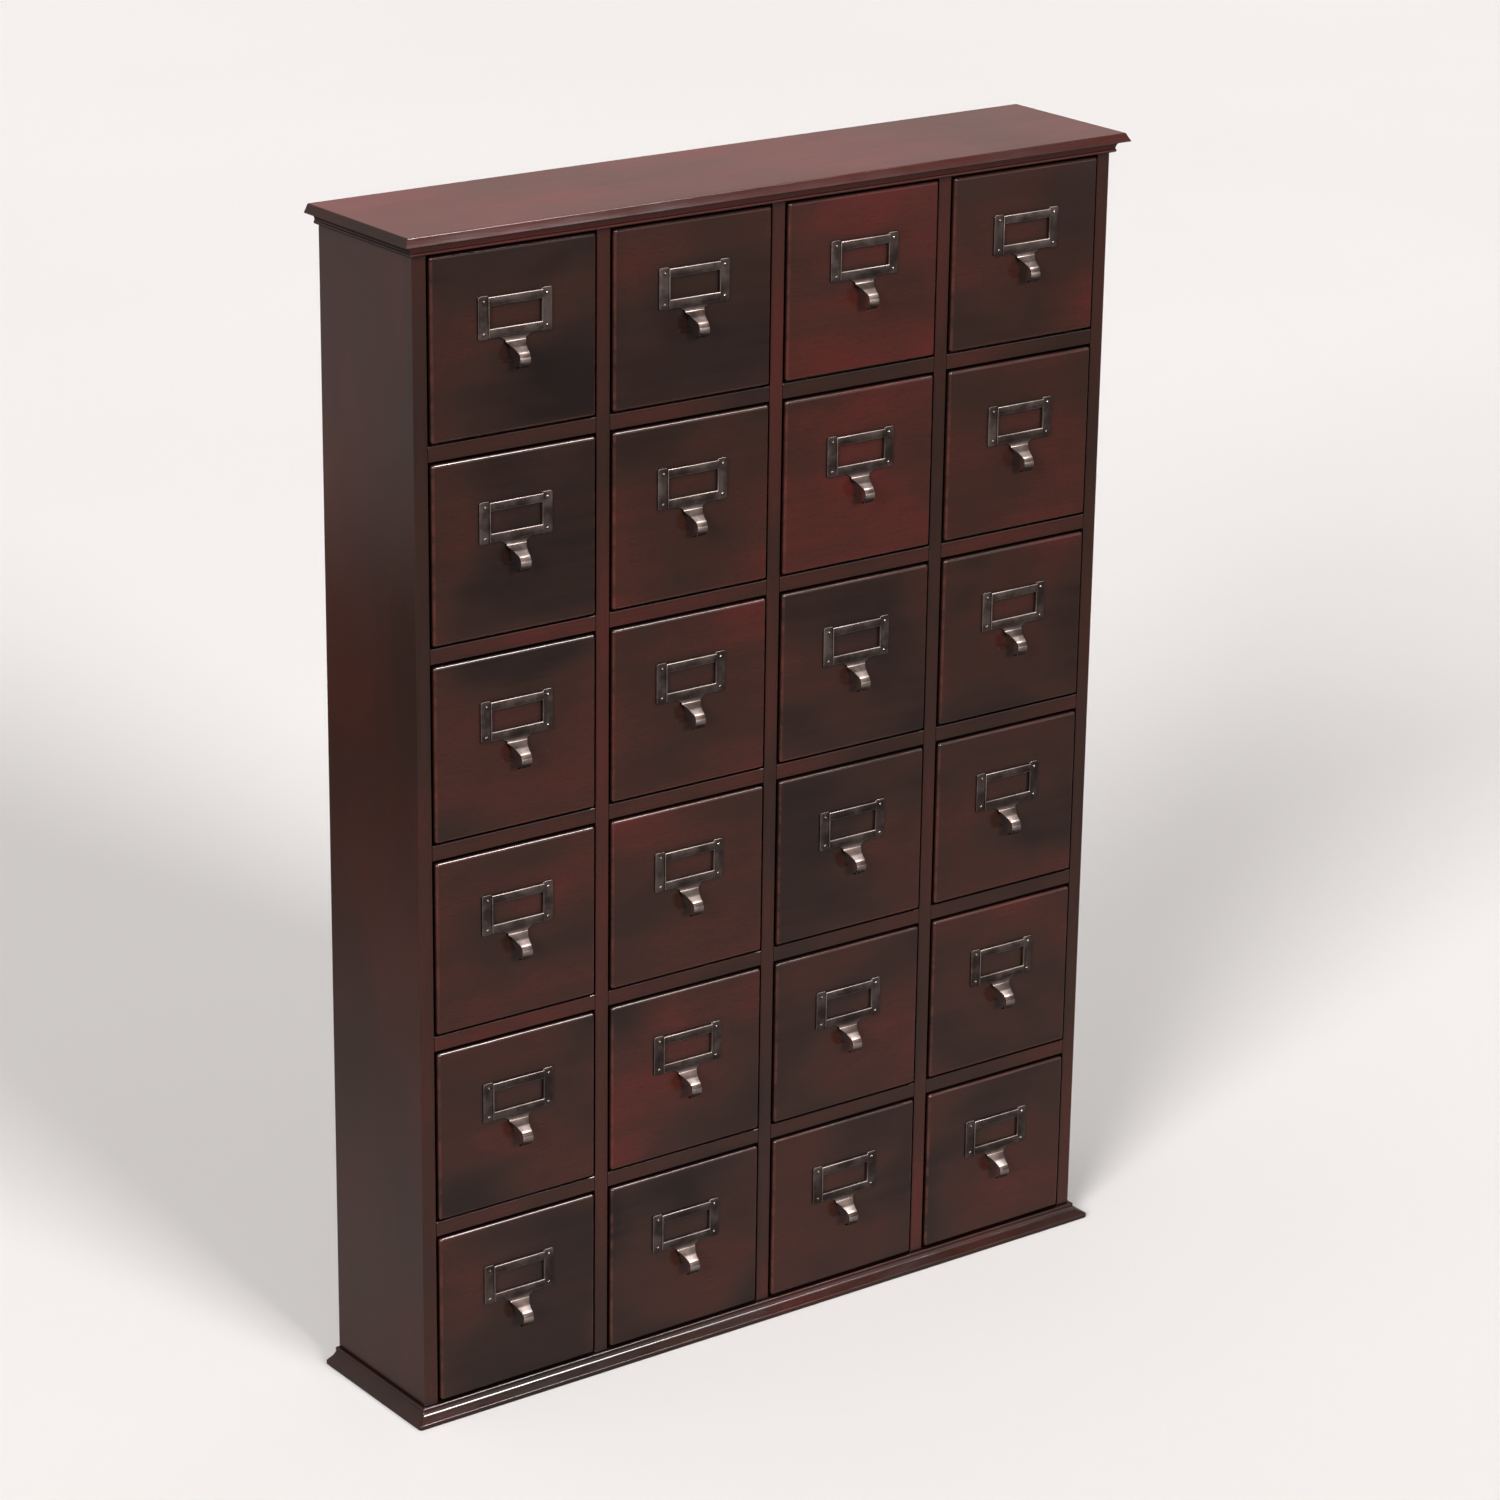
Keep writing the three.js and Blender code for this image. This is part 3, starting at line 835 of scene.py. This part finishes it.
def hook():
    """The strip, with its edges and the end of its curl rubbed bright. Below the holder it is glossier and
    painted darker as a dark reflection, and half as much so where the curl stands out."""
    line = hook_line()
    edge = -PLATE_HALF[1] + BAR_INSET
    worn_edge = [0, HOOK_EDGE_WEAR, HOOK_EDGE_WEAR, 0]
    rings = []
    wear = []
    run = -HOOK_OVERLAP
    for i, (out, down) in enumerate(line):
        before, after = line[max(i - 1, 0)], line[min(i + 1, len(line) - 1)]
        if i:
            run += math.dist(before, (out, down))
        along_line = Vector((after[0] - before[0], after[1] - before[1])).normalized()
        away = Vector((along_line.y, -along_line.x))
        section = rounded_rectangle(hook_half_width(run), STRIP / 2, STRIP_EDGE, STRIP_EDGE_STEPS)
        ring = []
        for x, depth in section:
            point = Vector((out, down)) + away * depth
            ring.append(Vector((x, -point.x, edge - point.y)))
        rings.append(ring)
        worn_curl = CURL_WEAR * rising(run, CURL_WEAR_START, CURL_WEAR_LENGTH)
        wear.append([max(value, worn_curl) for value in worn_edge * 4])
    bm = bmesh.new()
    skin(bm, rings, wear)
    # Where the strip is glossier and painted darker as a dark reflection
    layer = bm.verts.layers.float.new("gloss_and_painted_shade")
    for vert in bm.verts:
        below_holder = rising(edge - vert.co.z, 0, SMOOTH_LENGTH)
        standing_out = rising(-vert.co.y, LESS_SMOOTH_OUT, SMOOTH_LENGTH)
        vert[layer] = below_holder * (1 - 0.5 * standing_out)
    return finished_mesh("hook", bm)


def pins():
    """The four domed pins, rooted inside the ears."""
    bm = bmesh.new()
    dome = [(PIN_RADIUS, -PIN_ROOT)]
    dome += arc((0, PIN_RIM), (PIN_RADIUS, PIN_HEIGHT - PIN_RIM), 0, 84, steps=7)
    wear = [0, PIN_FOOT_WEAR] + [PIN_WEAR] * (len(dome) - 2)
    for side_x in (-1, 1):
        for side_z in (-1, 1):
            x = side_x * (PLATE_HALF[0] - EAR_WIDTH / 2)
            z = side_z * (PLATE_HALF[1] - PIN_EDGE)
            rings = []
            for radius, height in dome:
                circle = arc((x, z), (radius, radius), 0, 360 - 360 / PIN_SIDES, PIN_SIDES - 1)
                rings.append([Vector((a, -EAR_THICKNESS - height, b)) for a, b in circle])
            skin(bm, rings, wear)
    return finished_mesh("pins", bm)


def united(name, meshes):
    """One closed mesh from overlapping closed meshes. It keeps their attributes."""
    collection = bpy.data.collections.new(name + "_pieces")
    bpy.context.scene.collection.children.link(collection)
    objects = [bpy.data.objects.new(mesh.name, mesh) for mesh in meshes]
    base = objects[0]
    bpy.context.scene.collection.objects.link(base)
    for operand in objects[1:]:
        collection.objects.link(operand)
    union = base.modifiers.new("union", "BOOLEAN")
    union.operation = "UNION"
    union.solver = "EXACT"
    union.operand_type = "COLLECTION"
    union.collection = collection
    depsgraph = bpy.context.evaluated_depsgraph_get()
    result = bpy.data.meshes.new_from_object(base.evaluated_get(depsgraph), depsgraph=depsgraph)
    result.name = name
    for thing in objects:
        bpy.data.objects.remove(thing)
    bpy.data.collections.remove(collection)
    shade(result)
    return result


def label_pull(place, shape):
    low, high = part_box(f"pull_{place}")
    centre = Vector(((low.x + high.x) / 2, low.y + HOOK_REACH, high.z - PLATE_HALF[1]))
    mesh = shape.copy()
    mesh.name = f"label_pull_{place}_mesh"
    mesh.transform(Matrix.Translation(centre))
    add_piece(f"label_pull_{place}", mesh, f"drawer_{place}", [METAL], [f"pull_{place}"])


def front_tone_and_light(row, column, draw):
    """How red and light a front is: a random share of its own, more so upwards and to the right as painted
    light, but least in the top left corner.
    """
    upwards = (ROWS + 1) / 2 - row
    rightwards = column - (COLUMNS + 1) / 2
    corner = max(0, 1 - math.dist((row, column), (1, 1)) / DARK_CORNER_REACH)
    chance = draw.uniform(-TONE_CHANCE, TONE_CHANCE)
    return PAINTED_LIGHT_UPWARDS * upwards + PAINTED_LIGHT_RIGHTWARDS * rightwards + chance - DARK_CORNER * corner


def drawers():
    draw = random.Random(TONE_SEED)
    shape = united("label_pull", [holder(), ears(), hook(), pins()])
    for row in range(1, ROWS + 1):
        for column in range(1, COLUMNS + 1):
            place = f"r{row}_c{column}"
            low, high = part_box(f"drawer_{place}")
            drawer_front(place, low, high, front_tone_and_light(row, column, draw))
            drawer_box(place, low, high)
            label_pull(place, shape)


# Camera, floor and light

def towards(azimuth, elevation):
    """Unit vector in degrees. Azimuth 0 points to the front and turns anticlockwise seen from above."""
    turn, rise = math.radians(azimuth), math.radians(elevation)
    return Vector((math.sin(turn) * math.cos(rise), -math.cos(turn) * math.cos(rise), math.sin(rise)))


def add_camera():
    data = bpy.data.cameras.new("camera")
    data.lens = CAMERA_LENS
    data.sensor_width = CAMERA_SENSOR
    data.clip_end = CAMERA_CLIP_END
    camera = bpy.data.objects.new("camera", data)
    bpy.context.scene.collection.objects.link(camera)
    back = towards(CAMERA_AZIMUTH, CAMERA_ELEVATION)
    middle = (CAD_BOX[0] + CAD_BOX[1]) / 2
    aim = Vector((0, 0, middle.z)) + CAMERA_AIM
    turn = back.to_track_quat("Z", "Y").to_matrix().to_4x4()
    roll = Matrix.Rotation(math.radians(CAMERA_ROLL), 4, "Z")
    camera.matrix_world = Matrix.Translation(aim + back * CAMERA_DISTANCE) @ turn @ roll
    bpy.context.scene.camera = camera


def add_floor():
    bm = bmesh.new()
    bmesh.ops.create_grid(bm, x_segments=8, y_segments=8, size=FLOOR_SIZE)
    floor = bpy.data.objects.new("floor", finished_mesh("floor", bm))
    floor.data.materials.append(studio_paper("studio_paper"))
    bpy.context.scene.collection.objects.link(floor)


def sun(name, azimuth, elevation, softness, strength):
    """A wide soft light from far away, with its place and its softness in degrees."""
    data = bpy.data.lights.new(name, "SUN")
    data.angle = math.radians(softness)
    data.energy = strength
    light = bpy.data.objects.new(name, data)
    light.rotation_euler = towards(azimuth, elevation).to_track_quat("Z", "Y").to_euler()
    bpy.context.scene.collection.objects.link(light)


def gloss_panel(name, place, aim, size, watts):
    """A bright panel that makes highlights and gives no diffuse light."""
    data = bpy.data.lights.new(name, "AREA")
    data.shape = "RECTANGLE"
    data.size, data.size_y = size
    data.energy = watts
    panel = bpy.data.objects.new(name, data)
    panel.location = place
    panel.rotation_euler = (Vector(place) - Vector(aim)).to_track_quat("Z", "Y").to_euler()
    panel.visible_diffuse = False
    bpy.context.scene.collection.objects.link(panel)


def add_lamps():
    sun("front", azimuth=4, elevation=21, softness=20, strength=3.35)
    sun("left", azimuth=-60, elevation=24, softness=22, strength=3.2)
    sun("above", azimuth=-90, elevation=70, softness=40, strength=0.45)
    gloss_panel("highlight_bank", place=(3.0, -3.15, 5.8), aim=(-0.3, 0, 0.5), size=(1.1, 1.5), watts=400)
    gloss_panel("low_card", place=(1.7, -2.4, 1.0), aim=(0, 0, 0.5), size=(1.6, 0.8), watts=6)


def add_surroundings():
    """A pale backdrop for the camera, and a room that is brighter behind the cabinet than in front of it."""
    world = bpy.data.worlds.new("studio")
    bpy.context.scene.world = world
    world.use_nodes = True
    tree = world.node_tree
    tree.nodes.clear()
    output = tree.nodes.new("ShaderNodeOutputWorld")
    backdrop = tree.nodes.new("ShaderNodeBackground")
    backdrop.inputs["Color"].default_value = BACKDROP
    room = tree.nodes.new("ShaderNodeBackground")
    room.inputs["Color"].default_value = ROOM
    direction = tree.nodes.new("ShaderNodeTexCoord").outputs["Generated"]
    separate = tree.nodes.new("ShaderNodeSeparateXYZ")
    tree.links.new(direction, separate.inputs["Vector"])
    brightness = tree.nodes.new("ShaderNodeMapRange")
    brightness.interpolation_type = "SMOOTHSTEP"
    for name, number in zip(("From Min", "From Max", "To Min", "To Max"), ROOM_RISE + ROOM_STRENGTHS):
        brightness.inputs[name].default_value = number
    tree.links.new(separate.outputs["Y"], brightness.inputs["Value"])
    tree.links.new(brightness.outputs["Result"], room.inputs["Strength"])
    ray = tree.nodes.new("ShaderNodeLightPath")
    mix = tree.nodes.new("ShaderNodeMixShader")
    tree.links.new(ray.outputs["Is Camera Ray"], mix.inputs["Fac"])
    tree.links.new(room.outputs["Background"], mix.inputs[1])
    tree.links.new(backdrop.outputs["Background"], mix.inputs[2])
    tree.links.new(mix.outputs["Shader"], output.inputs["Surface"])


carcass_boards()
moulded_boards()
drawers()
add_camera()
add_floor()
add_lamps()
add_surroundings()
bpy.context.scene.view_settings.view_transform = "Standard"
